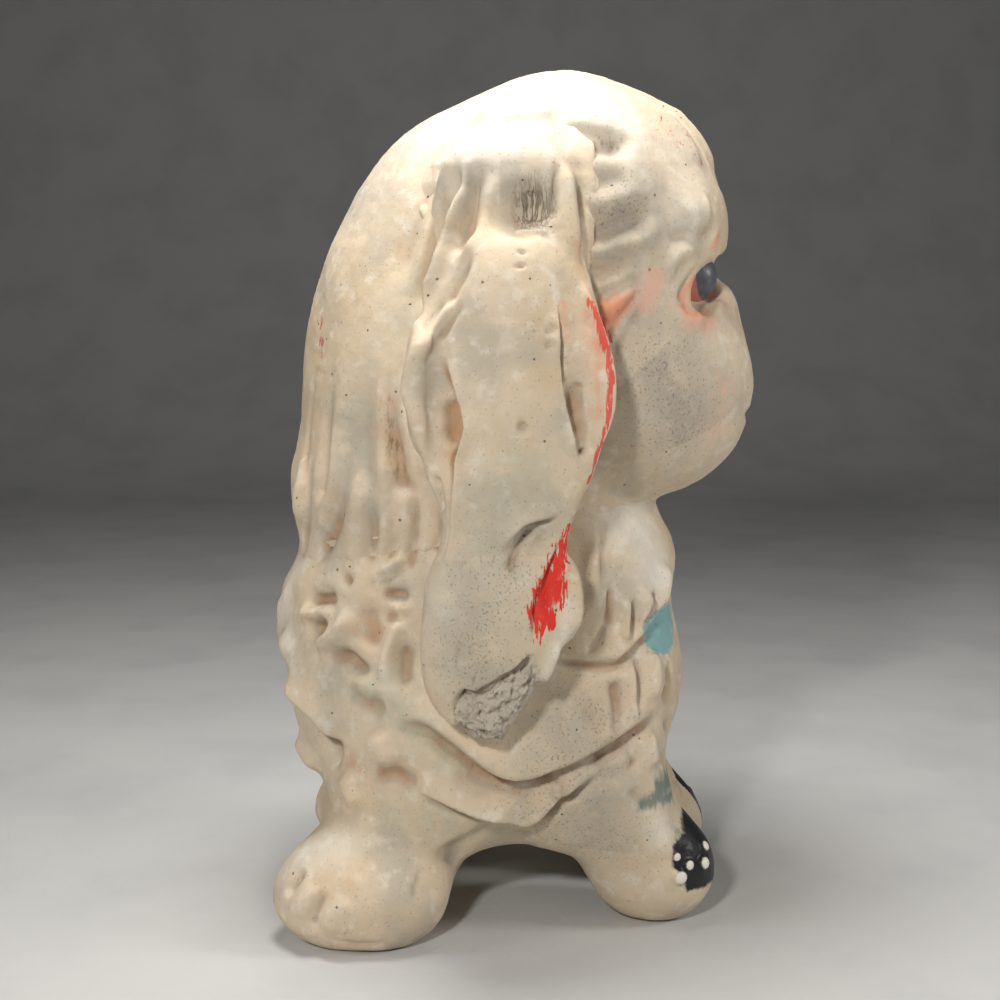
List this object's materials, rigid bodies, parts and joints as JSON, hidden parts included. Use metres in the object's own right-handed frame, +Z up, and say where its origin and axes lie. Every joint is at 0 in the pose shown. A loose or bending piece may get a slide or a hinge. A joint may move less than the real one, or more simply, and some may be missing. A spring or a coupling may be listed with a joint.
{
  "type": "chalkware dog figure",
  "caption": "Hollow plaster figure of a long-eared puppy standing on four splayed paws, with a domed head, long hanging ears and a wavy mane.",
  "frame": {"origin": "on the floor, under the middle of the figure's bounding box", "axes": "+Z up; the dog faces -Y, so its right side is at -X"},
  "size_m": [0.2018, 0.1873, 0.3305],
  "materials": {
    "plaster": "worn matt plaster",
    "ear_plaster": "worn matt plaster with traces of red paint",
    "eye_paint": "painted plaster, slightly glossy",
    "luting_plaster": "rough matt plaster"
  },
  "bodies": {
    "root": {"torso_casting": "plaster", "head_casting": "plaster", "right_ear": "ear_plaster", "left_ear": "ear_plaster", "right_eye": "eye_paint", "left_eye": "eye_paint", "pour_hole_plug": "luting_plaster"}
  },
  "joints": []
}
